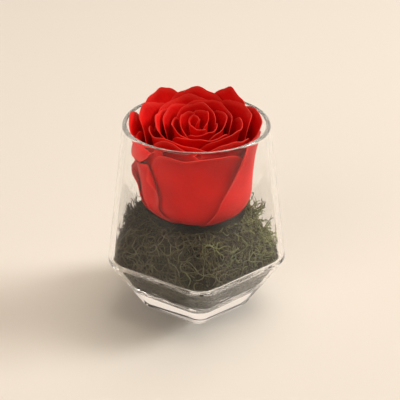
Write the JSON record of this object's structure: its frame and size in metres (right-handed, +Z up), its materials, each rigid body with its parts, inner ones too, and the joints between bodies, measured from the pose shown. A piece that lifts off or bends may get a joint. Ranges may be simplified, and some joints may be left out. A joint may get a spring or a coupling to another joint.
{
  "type": "preserved rose in vase",
  "caption": "Preserved rose head resting on a bed of curled moss in a clear faceted glass vase with a round open rim and a thick solid foot.",
  "frame": {"origin": "centre of the vase's flat underside, on the vase's axis", "axes": "+Z up along the vase's axis; one corner of the five-sided vase points to -Y, the side facing the picture's camera"},
  "size_m": [0.083, 0.0801, 0.0991],
  "materials": {
    "clear_glass": "polished clear glass",
    "dark_moss": "dry curled moss, matte",
    "rose_red": "soft preserved petals, slight sheen",
    "dry_stem_green": "dry stem, matte"
  },
  "bodies": {
    "root": {"vase": "clear_glass", "moss_bed": "dark_moss", "rose_bloom": "rose_red", "rose_stem": "dry_stem_green"}
  },
  "joints": []
}
